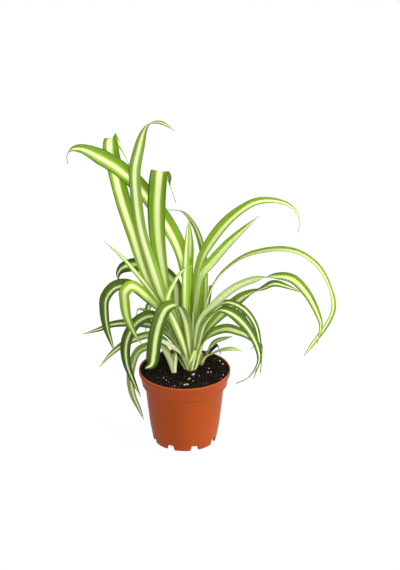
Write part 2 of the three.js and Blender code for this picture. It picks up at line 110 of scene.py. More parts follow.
sky = bpy.data.worlds.new("studio")
sky.use_nodes = True
sky_nodes = sky.node_tree.nodes
sky_links = sky.node_tree.links
direction = sky_nodes.new("ShaderNodeTexCoord")
rise = sky_nodes.new("ShaderNodeSeparateXYZ")
wall_to_ceiling = sky_nodes.new("ShaderNodeMapRange")
wall_to_ceiling.interpolation_type = "SMOOTHSTEP"
wall_to_ceiling.inputs["From Min"].default_value = WALL_TOP
wall_to_ceiling.inputs["From Max"].default_value = CEILING_EDGE
wall_to_ceiling.inputs["To Min"].default_value = 1.0
wall_to_ceiling.inputs["To Max"].default_value = CEILING_LIGHT
sky_links.new(direction.outputs["Generated"], rise.inputs[0])
sky_links.new(rise.outputs["Z"], wall_to_ceiling.inputs["Value"])
sky_links.new(wall_to_ceiling.outputs[0], sky_nodes["Background"].inputs["Strength"])
sky_nodes["Background"].inputs["Color"].default_value = (1, 1, 1, 1)
bpy.context.scene.world = sky


class Wire:
    """A shader socket that Python's operators join with Math nodes."""

    def __init__(self, paint, socket):
        self.paint = paint
        self.socket = socket

    def math(self, operation, *others):
        return self.paint.node("ShaderNodeMath", {"operation": operation}, dict(enumerate((self, *others))))

    def __add__(self, other):
        return self.math("ADD", other)

    __radd__ = __add__

    def __sub__(self, other):
        return self.math("SUBTRACT", other)

    def __rsub__(self, other):
        return self.paint.node("ShaderNodeMath", {"operation": "SUBTRACT"}, {0: other, 1: self})

    def __mul__(self, other):
        return self.math("MULTIPLY", other)

    __rmul__ = __mul__

    def __abs__(self):
        return self.math("ABSOLUTE")

    def limit(self):
        return self.math("MINIMUM", 1.0).math("MAXIMUM", 0.0)


class Paint:
    """One material. node() adds a node: its settings come first, then its sockets' values or links."""

    def __init__(self, name, **finish):
        self.material = bpy.data.materials.new(name)
        self.material.use_nodes = True
        self.tree = self.material.node_tree
        self.shader = self.tree.nodes["Principled BSDF"]
        for socket, value in finish.items():
            self.set(socket.replace("_", " ").title().replace("Ior", "IOR"), value)

    def set(self, socket, value):
        self.join(self.shader.inputs[socket], value)

    def join(self, socket, value):
        if isinstance(value, Wire):
            self.tree.links.new(value.socket, socket)
        elif socket.type == "RGBA":
            socket.default_value = (*value[:3], 1)
        else:
            socket.default_value = value

    def node(self, kind, settings, sockets, out=0):
        made = self.tree.nodes.new(kind)
        for name, value in settings.items():
            setattr(made, name, value)
        for socket, value in sockets.items():
            self.join(made.inputs[socket], value)
        return Wire(self, made.outputs[out])

    def place(self):
        return self.node("ShaderNodeTexCoord", {}, {}, "Object")

    def axis(self, where, letter):
        return self.node("ShaderNodeSeparateXYZ", {}, {0: where}, letter)

    def grain(self, where, scale, detail=3.0, roughness=0.55):
        sockets = {"Vector": where, "Scale": scale, "Detail": detail, "Roughness": roughness}
        return self.node("ShaderNodeTexNoise", {}, sockets)

    def stretched(self, where, by):
        return self.node("ShaderNodeVectorMath", {"operation": "MULTIPLY"}, {0: where, 1: by})

    def blend(self, share, low, high):
        return self.node("ShaderNodeMix", {"data_type": "RGBA"}, {0: share, 6: low, 7: high}, 2)

    def step(self, value, low, high):
        """From 0 to 1, smoothly, as value goes from low to high."""
        sockets = {"Value": value, "From Min": low, "From Max": high}
        return self.node("ShaderNodeMapRange", {"interpolation_type": "SMOOTHSTEP"}, sockets)

    def relief(self, height, distance, strength=1.0):
        sockets = {"Height": height, "Distance": distance, "Strength": strength}
        self.set("Normal", self.node("ShaderNodeBump", {}, sockets))


FLOOR_REACH = 12
FLOOR_GLOW = 0.96

white_sweep = Paint("white_sweep", base_color=(0.03, 0.03, 0.03), roughness=1.0, specular_ior_level=0.0)
white_sweep.set("Emission Color", (1, 1, 1))
white_sweep.set("Emission Strength", FLOOR_GLOW)
floor_mesh = bpy.data.meshes.new("floor")
corners = [(-1, -1), (1, -1), (1, 1), (-1, 1)]
floor_mesh.from_pydata([(x * FLOOR_REACH, y * FLOOR_REACH, 0) for x, y in corners], [], [(0, 1, 2, 3)])
floor_mesh.materials.append(white_sweep.material)
floor = stood("floor", floor_mesh)


# ---- Pot ----
# A 9 cm nursery pot, moulded in one piece from thin orange-brown plastic: a rim, a collar that lets pots
# stack, a tapered wall, eight feet with sloping notches between them, and a lifted floor with drain holes
# round a flat hub.

MM = 0.001
POT_HEIGHT = 76
RIM_RADIUS = 45.3
LIP_BOTTOM = 72.3
COLLAR_RADIUS = 42.1
COLLAR_BOTTOM = 60.6
LEDGE_RADIUS = 39.1
HIGH_WALL_RADIUS = 37.1
HIGH_WALL_HEIGHT = 40
LOW_WALL_RADIUS = 34.6
LOW_WALL_HEIGHT = 18
WALL = 1.6
FOOT_RADIUS = 31.2
HUB_RADIUS = 17
FLOOR_LIFT = 4.5
FOOT_COUNT = 8
NOTCH_HALF_DEGREES = 8
NOTCH_TURN_DEGREES = -4
NOTCH_OUTER_HEIGHT = 4.8
NOTCH_INNER_HEIGHT = 4.1
# Where the wall is divided across half a notch, and how much of that half its sloping side takes.
NOTCH_STATIONS = [0.62, 0.7, 0.76, 0.82, 0.88, 0.94, 1]
NOTCH_SLOPE = 0.38
SKIRT_TOP = 8
DRAIN_RADIUS = 2.4
DRAIN_CIRCLE = 24
DRAIN_SIDES = 24
FOOT_SECTORS = 13
SHARP_EDGE = math.radians(40)


def rounded_outline(corners, steps=4):
    """[radius, height, rounding] corners as points, each corner with a rounding drawn as a curve."""
    points = []
    for i, (radius, height, rounding) in enumerate(corners):
        here = Vector((radius, height))
        if not rounding:
            points.append(here)
            continue
        before = Vector(corners[i - 1][:2])
        after = Vector(corners[i + 1][:2])
        start = here + (before - here).normalized() * rounding
        end = here + (after - here).normalized() * rounding
        for k in range(steps + 1):
            share = k / steps
            points.append(start.lerp(here, share).lerp(here.lerp(end, share), share))
    return points


def sector_angles():
    """Angles round the pot, close together where a notch's steep sides are."""
    notch = [-share for share in NOTCH_STATIONS[::-1]] + [0] + NOTCH_STATIONS
    pitch = 360 / FOOT_COUNT
    angles = []
    for foot in range(FOOT_COUNT):
        middle = pitch * (foot + 0.5) + NOTCH_TURN_DEGREES
        angles += [middle + share * NOTCH_HALF_DEGREES for share in notch]
        solid = pitch - 2 * NOTCH_HALF_DEGREES
        for k in range(1, FOOT_SECTORS):
            angles.append(middle + NOTCH_HALF_DEGREES + solid * k / FOOT_SECTORS)
    return angles


def notch_height(degrees, top):
    """How high the notch between two feet reaches at this angle: sloping sides, rounded above and below."""
    pitch = 360 / FOOT_COUNT
    offset = (degrees - NOTCH_TURN_DEGREES) % pitch - pitch / 2
    share = min(1, max(0, (1 - abs(offset) / NOTCH_HALF_DEGREES) / NOTCH_SLOPE))
    return top * share * share * (3 - 2 * share)


def spun_mesh(name, outline, angles, shape=None):
    """A closed outline of (radius, height) spun round Z, in millimetres, with the poles closed."""
    points = []
    faces = []
    rings = []
    for radius, height in outline:
        if radius == 0:
            rings.append([len(points)])
            points.append((0, 0, height * MM))
            continue
        rings.append(list(range(len(points), len(points) + len(angles))))
        for angle in angles:
            z = shape(radius, height, angle) if shape else height
            turn = math.radians(angle)
            points.append((radius * math.cos(turn) * MM, radius * math.sin(turn) * MM, z * MM))
    count = len(angles)
    for low, high in zip(rings, rings[1:]):
        for i in range(count):
            k = (i + 1) % count
            corners = [low[i % len(low)], low[k % len(low)], high[k % len(high)], high[i % len(high)]]
            faces.append(tuple(dict.fromkeys(corners)))
    mesh = bpy.data.meshes.new(name)
    mesh.from_pydata(points, [], faces)
    mesh.validate()
    mesh.shade_smooth()
    return mesh


pot_outline = rounded_outline([
    (0, 0, 0),
    (HUB_RADIUS, 0, 0.8),
    (HUB_RADIUS + 3, FLOOR_LIFT, 0.8),
    (FOOT_RADIUS - WALL, FLOOR_LIFT, 0.4),
    (FOOT_RADIUS - WALL, 0, 0.5),
    (FOOT_RADIUS, 0, 0.5),
    (FOOT_RADIUS + 0.7, 3, 0),
    (FOOT_RADIUS + 1.65, SKIRT_TOP, 0),
    (LOW_WALL_RADIUS, LOW_WALL_HEIGHT, 4),
    (HIGH_WALL_RADIUS, HIGH_WALL_HEIGHT, 4),
    (LEDGE_RADIUS, COLLAR_BOTTOM - 0.6, 0.5),
    (COLLAR_RADIUS, COLLAR_BOTTOM, 0.5),
    (COLLAR_RADIUS + 1.3, LIP_BOTTOM - 4, 1.2),
    (RIM_RADIUS, LIP_BOTTOM, 1.2),
    (RIM_RADIUS, POT_HEIGHT, 0.6),
    (RIM_RADIUS - 1.4, POT_HEIGHT, 0.6),
    (RIM_RADIUS - WALL, LIP_BOTTOM + 1, 0.4),
    (COLLAR_RADIUS + 1.2 - WALL, LIP_BOTTOM, 0.4),
    (COLLAR_RADIUS - WALL, COLLAR_BOTTOM + 1, 0.4),
    (LEDGE_RADIUS - WALL, COLLAR_BOTTOM, 0.4),
    (HIGH_WALL_RADIUS - WALL, HIGH_WALL_HEIGHT, 0),
    (LOW_WALL_RADIUS - WALL, LOW_WALL_HEIGHT, 0),
    (FOOT_RADIUS + 1.2 - WALL, FLOOR_LIFT + WALL, 0.5),
    (HUB_RADIUS + 1.5, FLOOR_LIFT + WALL, 0.8),
    (HUB_RADIUS - 1.5, WALL, 0.8),
    (0, WALL, 0),
])


def lift_foot(radius, height, angle):
    """Squeezes the skirt up between the feet, so that the notches are part of the one wall."""
    if radius < FOOT_RADIUS - WALL - 0.01:
        return height
    if radius < FOOT_RADIUS - WALL / 2:
        top, reach = NOTCH_INNER_HEIGHT, FLOOR_LIFT
    else:
        top, reach = NOTCH_OUTER_HEIGHT, SKIRT_TOP
    if height >= reach or radius > FOOT_RADIUS + 2:
        return height
    notch = notch_height(angle, top)
    return notch + height * (reach - notch) / reach


def bored(mesh, cutters):
    """The mesh with the cutters' mesh taken out of it."""
    body = stood("body", mesh)
    tool = stood("tool", cutters)
    cut = body.modifiers.new("bore", "BOOLEAN")
    cut.operation = "DIFFERENCE"
    cut.solver = "EXACT"
    cut.object = tool
    whole = bpy.data.meshes.new_from_object(body.evaluated_get(bpy.context.evaluated_depsgraph_get()))
    for thing in (body, tool):
        bpy.data.objects.remove(thing)
    return whole


def drain_cutters():
    points = []
    faces = []
    for foot in range(FOOT_COUNT):
        turn = math.radians(360 / FOOT_COUNT * (foot + 0.5) + NOTCH_TURN_DEGREES)
        first = len(points)
        for height in (FLOOR_LIFT - 2, FLOOR_LIFT + WALL + 2):
            for i in range(DRAIN_SIDES):
                angle = math.tau * i / DRAIN_SIDES
                x = DRAIN_CIRCLE * math.cos(turn) + DRAIN_RADIUS * math.cos(angle)
                y = DRAIN_CIRCLE * math.sin(turn) + DRAIN_RADIUS * math.sin(angle)
                points.append((x * MM, y * MM, height * MM))
        low = list(range(first, first + DRAIN_SIDES))
        high = [i + DRAIN_SIDES for i in low]
        faces += [low[::-1], high]
        for i in range(DRAIN_SIDES):
            k = (i + 1) % DRAIN_SIDES
            faces.append((low[i], low[k], high[k], high[i]))
    mesh = bpy.data.meshes.new("drains")
    mesh.from_pydata(points, [], faces)
    return mesh


def add_piece(name, mesh, replaced=()):
    """Stands a finished mesh on the part's one body, in place of the solids that it replaces."""
    piece = stood(name, mesh)
    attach(piece, "root")
    if replaced:
        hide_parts(*replaced)
    return piece


pot_mesh = bored(spun_mesh("pot", pot_outline, sector_angles(), lift_foot), drain_cutters())
pot_mesh.shade_smooth()
pot_mesh.set_sharp_from_angle(angle=SHARP_EDGE)

# The last of these colours is that of the scuffs, and also of the painted highlight along the top of the rim.
POT_ORANGE = (0.212, 0.037, 0.0048)
POT_DEEP = (0.235, 0.038, 0.0065)
POT_SCUFF_AND_HIGHLIGHT = (0.45, 0.1, 0.035)

pot_plastic = Paint("pot_plastic", roughness=0.45, specular_ior_level=0.07)
where = pot_plastic.place()
cloud = pot_plastic.grain(where, 30, 2)
fleck = pot_plastic.grain(where, 1400, 2)
drawn = pot_plastic.grain(pot_plastic.stretched(where, (240, 240, 8)), 1, 3)
shade = pot_plastic.blend(pot_plastic.step(cloud, 0.35, 0.68), POT_ORANGE, POT_DEEP)
height = pot_plastic.axis(where, "Z")
# Painted highlight: the top of the rim, all round, is lightened towards the pale scuff colour.
rim_highlight = pot_plastic.step(height, (POT_HEIGHT - 0.8) * MM, (POT_HEIGHT - 0.1) * MM) * 0.55
scuffs = pot_plastic.step(drawn, 0.66, 0.82) * 0.1 + pot_plastic.step(fleck, 0.7, 0.8) * 0.06
# Real scuffs and flecks, together with the painted highlight on the rim.
scuffs_and_rim_highlight = (scuffs + rim_highlight).limit()
pot_plastic.set("Base Color", pot_plastic.blend(scuffs_and_rim_highlight, shade, POT_SCUFF_AND_HIGHLIGHT))
pot_plastic.set("Roughness", 0.36 + cloud * 0.06 + drawn * 0.06)
pot_plastic.relief(fleck * 0.5 + drawn * 0.5, 0.00004, 0.5)
pot_mesh.materials.clear()
pot_mesh.materials.append(pot_plastic.material)
add_piece("nursery_pot", pot_mesh, ["pot"])


# ---- Soil ----
# Damp black potting mix, filled nearly to the rim and heaped a little round the plant.
# The bed itself is one lumpy body, with crumbs, splinters of bark and grains of perlite lying in its surface.

SOIL_TOP = 74.5
SOIL_MOUND = 1
SOIL_BANK = 1.2
CLOD_HEIGHT = 0.9
LUMP_HEIGHT = 0.6
SOIL_RINGS = 56
SOIL_SECTORS = 150
SOIL_FIT = 0.35
SOIL_EDGE = RIM_RADIUS - WALL - SOIL_FIT


def soil_height(x, y):
    """The bed's height in millimetres: a low mound with clods and fine lumps, banked up at the back."""
    radius = math.hypot(x, y)
    mound = SOIL_MOUND * (1 - (radius / SOIL_EDGE) ** 2)
    clods = noise.noise(Vector((x * 0.16, y * 0.16, 3)))
    lumps = noise.noise(Vector((x * 0.55, y * 0.55, 7)))
    bank = SOIL_BANK * min(1, max(0, y / 30)) * (radius / SOIL_EDGE) ** 6
    return SOIL_TOP + mound + bank + clods * CLOD_HEIGHT + lumps * LUMP_HEIGHT


def ring_faces(rings, sectors):
    """Faces that join a middle point, number 0, to rings of points round it, numbered outwards."""
    faces = []
    for sector in range(sectors):
        after = (sector + 1) % sectors
        faces.append((0, 1 + sector, 1 + after))
        for ring in range(rings - 1):
            low = 1 + ring * sectors
            high = low + sectors
            faces.append((low + sector, high + sector, high + after, low + after))
    return faces


def soil_bed():
    points = [(0, 0, soil_height(0, 0) * MM)]
    sides = [
        (SOIL_EDGE, LIP_BOTTOM + 1.4),
        (COLLAR_RADIUS - WALL - SOIL_FIT, LIP_BOTTOM - 0.4),
        (LEDGE_RADIUS - WALL - SOIL_FIT, COLLAR_BOTTOM),
        (LOW_WALL_RADIUS - WALL - SOIL_FIT, LOW_WALL_HEIGHT),
        (30.4, FLOOR_LIFT + WALL + SOIL_FIT),
    ]
    for ring in range(1, SOIL_RINGS + len(sides) + 1):
        for sector in range(SOIL_SECTORS):
            angle = math.tau * sector / SOIL_SECTORS
            if ring <= SOIL_RINGS:
                radius = SOIL_EDGE * ring / SOIL_RINGS
                height = soil_height(radius * math.cos(angle), radius * math.sin(angle))
            else:
                radius, height = sides[ring - SOIL_RINGS - 1]
            points.append((radius * math.cos(angle) * MM, radius * math.sin(angle) * MM, height * MM))
    points.append((0, 0, sides[-1][1] * MM))
    last = len(points) - 1
    faces = ring_faces(SOIL_RINGS + len(sides), SOIL_SECTORS)
    for sector in range(SOIL_SECTORS):
        outer = last - SOIL_SECTORS
        faces.append((outer + sector, last, outer + (sector + 1) % SOIL_SECTORS))
    mesh = bpy.data.meshes.new("soil")
    mesh.from_pydata(points, [], faces)
    mesh.shade_smooth()
    return mesh


def earth_paint(name, dark, light, roughness):
    paint = Paint(name, roughness=roughness, specular_ior_level=0.08)
    where = paint.place()
    lumps = paint.grain(where, 420, 5, 0.7)
    specks = paint.grain(where, 1500, 3, 0.6)
    tone = paint.blend(paint.step(lumps, 0.42, 0.72), dark, light)
    paint.set("Base Color", paint.blend(paint.step(specks, 0.66, 0.74) * 0.5, tone, light))
    paint.set("Roughness", roughness - 0.3 * paint.step(lumps, 0.3, 0.6))
    paint.relief(lumps + specks * 0.5, 0.0006)
    return paint.material


black_earth = earth_paint("black_earth", (0.0034, 0.0023, 0.0015), (0.013, 0.008, 0.0046), 0.95)
crumb_earth = earth_paint("crumb_earth", (0.005, 0.0034, 0.0022), (0.025, 0.015, 0.0084), 0.9)
bark_brown = earth_paint("bark_brown", (0.017, 0.0092, 0.005), (0.076, 0.044, 0.025), 0.85)
perlite_white = earth_paint("perlite_white", (0.34, 0.28, 0.21), (0.52, 0.48, 0.4), 0.8)

soil_mesh = soil_bed()
soil_mesh.materials.append(black_earth)
add_piece("soil_bed", soil_mesh, ["soil"])


class Growth:
    """A Geometry Nodes tree that scatters one kind of chunk over a surface, its sizes as named inputs."""

    def __init__(self, name, inputs):
        self.tree = bpy.data.node_groups.new(name, "GeometryNodeTree")
        face = self.tree.interface
        for way in ("INPUT", "OUTPUT"):
            face.new_socket("Geometry", in_out=way, socket_type="NodeSocketGeometry")
        self.ids = {}
        for label, (kind, value) in inputs.items():
            socket = face.new_socket(label, in_out="INPUT", socket_type=kind)
            self.ids[label] = (socket.identifier, value)
        self.start = self.tree.nodes.new("NodeGroupInput")
        self.end = self.tree.nodes.new("NodeGroupOutput")

    def node(self, kind, settings, sockets):
        made = self.tree.nodes.new(kind)
        for name, value in settings.items():
            setattr(made, name, value)
        for socket, value in sockets.items():
            if isinstance(value, bpy.types.NodeSocket):
                self.tree.links.new(value, made.inputs[socket])
            else:
                made.inputs[socket].default_value = value
        return made.outputs

    def read(self, label):
        return self.start.outputs[label]

    def grown(self, name, surface):
        """The tree's result on a surface mesh, as a plain mesh."""
        bed = stood(name, surface)
        modifier = bed.modifiers.new("grow", "NODES")
        modifier.node_group = self.tree
        for identifier, value in self.ids.values():
            modifier[identifier] = value
        bpy.context.view_layer.update()
        mesh = bpy.data.meshes.new_from_object(bed.evaluated_get(bpy.context.evaluated_depsgraph_get()))
        bpy.data.objects.remove(bed)
        mesh.name = name
        return mesh


def soil_surface(reach=SOIL_EDGE - 1.2, rings=20, sectors=60):
    """The bed's open top, for chunks to lie on."""
    points = [(0, 0, soil_height(0, 0) * MM)]
    for ring in range(1, rings + 1):
        for sector in range(sectors):
            angle = math.tau * sector / sectors
            x = reach * ring / rings * math.cos(angle)
            y = reach * ring / rings * math.sin(angle)
            points.append((x * MM, y * MM, (soil_height(x, y) + 0.1) * MM))
    mesh = bpy.data.meshes.new("soil_top")
    mesh.from_pydata(points, [], ring_faces(rings, sectors))
    return mesh


def scattered(name, material, density, size, flatness, subdivisions, seed, dents):
    """Chunks of uneven size strewn over the bed, each a small dented ball."""
    growth = Growth(
        name,
        {
            "Chunks per m2": ("NodeSocketFloat", density),
            "Smallest": ("NodeSocketFloat", size[0] * MM),
            "Largest": ("NodeSocketFloat", size[1] * MM),
            "Flatness": ("NodeSocketFloat", flatness),
            "Dents": ("NodeSocketFloat", dents),
            "Seed": ("NodeSocketInt", seed),
        },
    )
    spread = {"Mesh": growth.read("Geometry"), "Density": growth.read("Chunks per m2")}
    spread["Seed"] = growth.read("Seed")
    spots = growth.node("GeometryNodeDistributePointsOnFaces", {}, spread)
    ball = growth.node("GeometryNodeMeshIcoSphere", {}, {"Radius": 0.5, "Subdivisions": subdivisions})
    turn = growth.node(
        "FunctionNodeRandomValue",
        {"data_type": "FLOAT_VECTOR"},
        {0: (0, 0, 0), 1: (math.tau, math.tau, math.tau), "Seed": growth.read("Seed")},
    )
    scale = growth.node(
        "FunctionNodeRandomValue",
        {"data_type": "FLOAT"},
        {2: growth.read("Smallest"), 3: growth.read("Largest"), "Seed": growth.read("Seed")},
    )
    squash = growth.node("ShaderNodeCombineXYZ", {}, {0: 1.0, 1: 0.75, 2: growth.read("Flatness")})
    sizes = growth.node("ShaderNodeVectorMath", {"operation": "SCALE"}, {0: squash[0], "Scale": scale[1]})
    placed = growth.node(
        "GeometryNodeInstanceOnPoints",
        {},
        {"Points": spots["Points"], "Instance": ball["Mesh"], "Rotation": turn[0], "Scale": sizes[0]},
    )
    whole = growth.node("GeometryNodeRealizeInstances", {}, {0: placed[0]})
    uneven = growth.node("ShaderNodeTexNoise", {}, {"Scale": 650.0, "Detail": 2.0})
    centring = {0: uneven["Color"], 1: (0.5, 0.5, 0.5)}
    centred = growth.node("ShaderNodeVectorMath", {"operation": "SUBTRACT"}, centring)
    dent = {0: centred[0], "Scale": growth.read("Dents")}
    push = growth.node("ShaderNodeVectorMath", {"operation": "SCALE"}, dent)
    dented = growth.node("GeometryNodeSetPosition", {}, {"Geometry": whole[0], "Offset": push[0]})
    done = growth.node("GeometryNodeSetMaterial", {}, {"Geometry": dented[0], "Material": material})
    growth.tree.links.new(done[0], growth.end.inputs[0])
    return growth.grown(name, soil_surface())


# Name, paint, chunks to the square metre, smallest and largest size, flatness, fineness, seed, dent depth.
soil_kinds = [
    ("soil_crumbs", crumb_earth, 360000, (0.5, 1.9), 0.7, 2, 4, 0.0006),
    ("soil_clods", black_earth, 42000, (1.8, 3.6), 0.6, 3, 9, 0.0012),
    ("bark_bits", bark_brown, 26000, (1.0, 3.4), 0.3, 2, 15, 0.0009),
    ("perlite_dust", perlite_white, 9000, (0.35, 0.9), 0.8, 2, 22, 0.0002),
]
for kind in soil_kinds:
    add_piece(kind[0], scattered(*kind))

# The larger grains of perlite and lumps of bark, each as x, y and size.
PERLITE = [
    (0, -34.5, 1.6), (2.6, -33.5, 1.7), (8, -13, 1.7), (9.5, -11.5, 1.2), (5, -21, 1.3), (3.3, -22, 1),
    (-10, -35, 1.2), (23, -8, 1.2), (24, 1, 0.9), (26, -6, 0.9), (35, 17, 1.3), (38, 12, 1.2),
    (-20.5, -20, 1), (-18, -24, 0.9), (38, -11, 1), (14.5, -16, 0.8), (8.5, -25, 0.8), (36, -20, 0.9),
    (-16, 16, 1.2), (12, 35, 1.2), (-33, 17, 1.1),
]
BARK = [
    (-30, 3, 2), (5, 24, 1.8), (-26, -20, 1.7), (-4, -32, 2), (31, -14, 1.6), (-9, 33, 1.6), (-37, -6, 1.7),
    (30, 22, 1.8),
]


def lump_mesh(name, lumps, material, seed):
    """Broken, faceted lumps in one mesh, each sunk a little into the bed."""
    random.seed(seed)
    whole = bmesh.new()
    for x, y, size in lumps:
        made = bmesh.ops.create_icosphere(whole, subdivisions=3, radius=size * 0.8 * MM)
        spin = Quaternion(Vector((1, random.random(), random.random())).normalized(), random.random() * 6)
        stretch = Vector((1, 0.7 + 0.3 * random.random(), 0.75))
        offset = Vector((x, y, soil_height(x, y) + size * 0.25)) * MM
        for vert in made["verts"]:
            dent = noise.noise(vert.co * 900 + Vector((x, y, 0)))
            vert.co = spin @ (vert.co * (1 + 0.35 * dent) * stretch) + offset
    mesh = bpy.data.meshes.new(name)
    whole.to_mesh(mesh)
    whole.free()
    mesh.shade_smooth()
    mesh.materials.append(material)
    return mesh


add_piece("perlite_grains", lump_mesh("perlite_grains", PERLITE, perlite_white, 5))
add_piece("bark_lumps", lump_mesh("bark_lumps", BARK, bark_brown, 6))


# ---- Crowns ----
# Short fleshy stems that stand in the soil and carry the leaves, pale where the leaf bases shade them, and
# brown and papery at the foot. One is big and the two beside it are young. Each is drawn in where it enters
# the soil.

# Foot is the radius in the soil, radius the one just above it, and top_radius the one at the top.
CROWNS = {
    "main": {"at": (6, 0), "foot": 4.2, "radius": 6, "top_radius": 3.6, "top": 101},
    "left": {"at": (-10.5, -7), "foot": 1.3, "radius": 1.7, "top_radius": 3.1, "top": 96},
    "right": {"at": (16.5, 10), "foot": 1.8, "radius": 2.2, "top_radius": 1.4, "top": 90},
}
CROWN_FOOT = 62
CROWN_SWELLS_FROM = SOIL_TOP - 0.5
CROWN_SWELLS_TO = SOIL_TOP + 2
CROWN_RIBS = 7
CROWN_RIB_DEPTH = 0.035
CROWN_RIB_SPIRAL = 260
CROWN_ROWS = 30
CROWN_SECTORS = 56


def crown_radius(crown, height):
    share = min(1, max(0, (height - SOIL_TOP) / (crown["top"] - SOIL_TOP)))
    return crown["radius"] + (crown["top_radius"] - crown["radius"]) * share


def crown_mesh(name, crown):
    outline = [(0, CROWN_FOOT)]
    for i in range(CROWN_ROWS + 1):
        height = CROWN_FOOT + (crown["top"] - 1 - CROWN_FOOT) * i / CROWN_ROWS
        swell = min(1, max(0, (height - CROWN_SWELLS_FROM) / (CROWN_SWELLS_TO - CROWN_SWELLS_FROM)))
        radius = crown["foot"] + (crown_radius(crown, height) - crown["foot"]) * swell
        outline.append((radius, height))
    outline.append((0, crown["top"]))
    mesh = spun_mesh(name, outline, [360 * i / CROWN_SECTORS for i in range(CROWN_SECTORS)])
    for vert in mesh.vertices:
        angle = math.atan2(vert.co.y, vert.co.x)
        ribs = CROWN_RIB_DEPTH * math.sin(angle * CROWN_RIBS + vert.co.z * CROWN_RIB_SPIRAL)
        vert.co.x *= 1 + ribs
        vert.co.y *= 1 + ribs
        vert.co += Vector((*crown["at"], 0)) * MM
    return mesh


crown_flesh = Paint("crown_flesh", roughness=0.5, specular_ior_level=0.15)
where = crown_flesh.place()
height = crown_flesh.axis(where, "Z")
fibres = crown_flesh.grain(crown_flesh.stretched(where, (900, 900, 40)), 1, 4)
flesh = crown_flesh.blend(crown_flesh.step(fibres, 0.35, 0.7), (0.3, 0.34, 0.1), (0.17, 0.2, 0.045))
papery = crown_flesh.step(height + fibres * 0.012, 0.088, 0.076)
crown_flesh.set("Base Color", crown_flesh.blend(papery, flesh, (0.14, 0.085, 0.04)))
crown_flesh.relief(fibres, 0.0004)
for side, crown in CROWNS.items():
    mesh = crown_mesh("crown_" + side, crown)
    mesh.materials.append(crown_flesh.material)
    add_piece("stem_" + side, mesh, ["crown_" + side])


# ---- Leaves ----
# Long blades of soft leaf, channelled down the middle, narrow where they clasp their crown and drawn out to
# a fine tip. Young ones are bright green and old ones dark, each with a cream stripe down its middle and
# fine veins along it, and one has withered. Their feet stand on the crowns.

LEAF_BASE_WIDTH = 3.2
LEAF_TIP_WIDTH = 0.7
LEAF_THICKNESS = 0.8
LEAF_EDGE_LOSS = 0.36
LEAF_FOLD = [0.35, 0.3, 0.02]
LEAF_WAVE = 0.14
LEAF_WAVES_PER_MM = 0.03
LEAF_TURN = 70
LEAF_STEP = 1.4
LEAF_COLUMNS = 13
LEAF_AGE = {"bright": 0.12, "dark": 0.85, "dried": 1}
AGE_SPREAD = 0.13
STRIPE_SPREAD = 0.16


@dataclass
class Leaf:
    """One leaf, in millimetres and degrees. Places along it are shares of its length, from its base."""

    name: str
    tone: str
    root: tuple  # the angle round the crown, and the height on it
    heading: float  # the way that the blade bends over
    width: float
    through: tuple  # the points that its midrib passes after its root
    crown: str = "main"
    full: tuple = (0.45, 0.5)  # the stretch that has the full width
    taper: float = 2.4  # how late it narrows after that
    roll: tuple = (0,)  # its turn about its length, at even steps along it
    twist: tuple = (0, 1, 0)  # where a sharp turn starts and ends, and how far it turns
    stripe: tuple = ()  # how far the stripe lies from the middle, how much broader it is, and how faint
    bleach: float = 0  # how far it has lost its green


